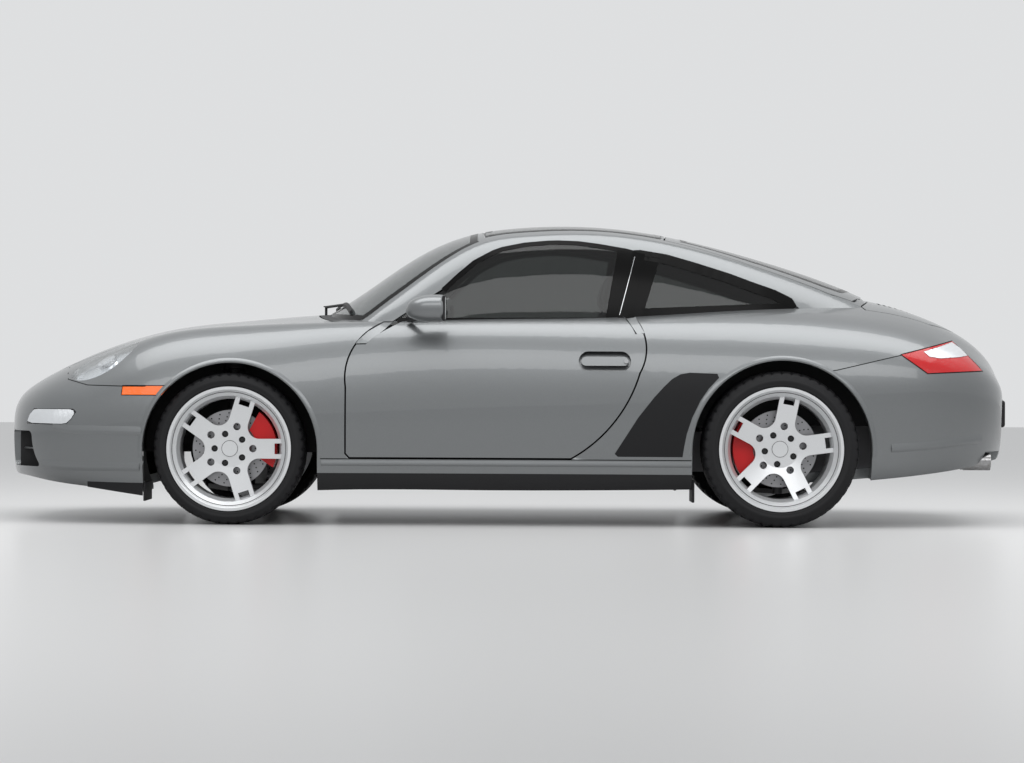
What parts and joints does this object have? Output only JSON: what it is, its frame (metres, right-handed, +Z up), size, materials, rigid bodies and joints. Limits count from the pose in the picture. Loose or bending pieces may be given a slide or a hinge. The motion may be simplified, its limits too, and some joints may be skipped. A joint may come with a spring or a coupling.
{
  "type": "removable-roof sports car",
  "caption": "Rear-engined sports car with a lift-off glass roof, opening rear window, spoked wheels, hollow cabin with seats, and hinged doors and lids.",
  "frame": {"origin": "on the floor under the middle of the car's overall length and width", "axes": "+X to the nose, +Y to the car's left, +Z up"},
  "size_m": [4.427, 2.005, 1.3106],
  "materials": {
    "body_paint": "grey metallic paint",
    "wheel_paint": "silver wheel paint",
    "tyre_rubber": "matt black rubber",
    "black_plastic": "matt black",
    "cabin_plastic": "dark grey, grained",
    "seat_leather": "black leather",
    "cabin_glass": "tinted glass",
    "lamp_glass": "clear lens",
    "lamp_metal": "bright reflector",
    "orange_lens": "orange lens",
    "red_lens": "red lens",
    "calliper_paint": "red paint",
    "brake_iron": "bare machined iron",
    "floor_paint": "dark underbody paint",
    "axle_metal": "black cast metal",
    "engine_metal": "plain cast",
    "exhaust_steel": "stainless steel"
  },
  "bodies": {
    "car_body": {"front_bumper": "body_paint", "rear_bumper": "body_paint", "front_fenders": "body_paint", "cowl_panel": "black_plastic", "rear_quarters": "body_paint", "rocker_panels": "body_paint", "side_skirts": "black_plastic", "front_lamps": "lamp_glass", "side_markers": "orange_lens", "tail_lamps": "red_lens", "headlamps": "lamp_glass", "lamp_units": "lamp_metal", "front_grilles": "black_plastic", "windshield": "cabin_glass", "quarter_windows": "cabin_glass", "roof_frame": "body_paint", "body_sides": "floor_paint", "wheel_houses": "black_plastic", "floor_pan": "floor_paint", "luggage_tub": "cabin_plastic", "dashboard": "cabin_plastic", "steering_wheel": "cabin_plastic", "front_seats": "seat_leather", "rear_seats": "seat_leather", "engine": "engine_metal", "exhaust": "exhaust_steel", "wipers": "black_plastic", "front_axle": "axle_metal", "rear_axle": "axle_metal", "callipers_rear": "calliper_paint"},
    "front_left_wheel": {"rim_front_left": "wheel_paint", "tyre_front_left": "tyre_rubber", "disc_front_left": "brake_iron"},
    "front_right_wheel": {"rim_front_right": "wheel_paint", "tyre_front_right": "tyre_rubber", "disc_front_right": "brake_iron"},
    "rear_left_wheel": {"rim_rear_left": "wheel_paint", "tyre_rear_left": "tyre_rubber", "disc_rear_left": "brake_iron"},
    "rear_right_wheel": {"rim_rear_right": "wheel_paint", "tyre_rear_right": "tyre_rubber", "disc_rear_right": "brake_iron"},
    "left_steer": {"knuckle_left": "axle_metal", "calliper_front_left": "calliper_paint"},
    "right_steer": {"knuckle_right": "axle_metal", "calliper_front_right": "calliper_paint"},
    "left_door": {"door_left": "body_paint", "door_window_left": "cabin_glass", "mirror_left": "body_paint"},
    "right_door": {"door_right": "body_paint", "door_window_right": "cabin_glass", "mirror_right": "body_paint"},
    "luggage_lid": {"front_lid": "body_paint"},
    "engine_cover": {"engine_lid": "body_paint"},
    "rear_window": {"rear_hatch": "body_paint", "hatch_glass": "cabin_glass"},
    "lift_off_roof": {"roof_panel": "cabin_glass"}
  },
  "joints": [
    {"name": "steer_left", "type": "hinge", "parent": "car_body", "child": "left_steer", "pos_m": [1.19, 0.6755, 0.165], "axis": [0, -0.1889, 0.982], "range_deg": [-33, 33]},
    {"name": "roll_front_left", "type": "hinge", "parent": "left_steer", "child": "front_left_wheel", "pos_m": [1.19, 0.744, 0.3235], "axis": [0, 1, 0], "continuous": true},
    {"name": "roll_rear_left", "type": "hinge", "parent": "car_body", "child": "rear_left_wheel", "pos_m": [-1.16, 0.765, 0.3328], "axis": [0, 1, 0], "continuous": true},
    {"name": "door_left", "type": "hinge", "parent": "car_body", "child": "left_door", "pos_m": [0.6977, 0.8797, 0.5], "axis": [0, 0, -1], "range_deg": [0, 65]},
    {"name": "steer_right", "type": "hinge", "parent": "car_body", "child": "right_steer", "pos_m": [1.19, -0.6755, 0.165], "axis": [0, 0.1889, 0.982], "range_deg": [-33, 33]},
    {"name": "roll_front_right", "type": "hinge", "parent": "right_steer", "child": "front_right_wheel", "pos_m": [1.19, -0.744, 0.3235], "axis": [0, 1, 0], "continuous": true},
    {"name": "roll_rear_right", "type": "hinge", "parent": "car_body", "child": "rear_right_wheel", "pos_m": [-1.16, -0.765, 0.3328], "axis": [0, 1, 0], "continuous": true},
    {"name": "door_right", "type": "hinge", "parent": "car_body", "child": "right_door", "pos_m": [0.6977, -0.8797, 0.5], "axis": [0, 0, 1], "range_deg": [0, 65]},
    {"name": "luggage_lid_hinge", "type": "hinge", "parent": "car_body", "child": "luggage_lid", "pos_m": [0.7659, 0, 0.9183], "axis": [0, -1, 0], "range_deg": [0, 60]},
    {"name": "engine_cover_hinge", "type": "hinge", "parent": "car_body", "child": "engine_cover", "pos_m": [-1.5494, 0, 0.986], "axis": [0, 1, 0], "range_deg": [0, 60]},
    {"name": "rear_window_hinge", "type": "hinge", "parent": "car_body", "child": "rear_window", "pos_m": [-0.6818, 0, 1.268], "axis": [0, 1, 0], "range_deg": [0, 45]},
    {"name": "roof_lift", "type": "slide", "parent": "car_body", "child": "lift_off_roof", "axis": [0, 0, 1], "range_m": [0, 0.3]}
  ],
  "couplings": [
    {"joint": "steer_right", "follows": "steer_left", "ratio": 1}
  ]
}
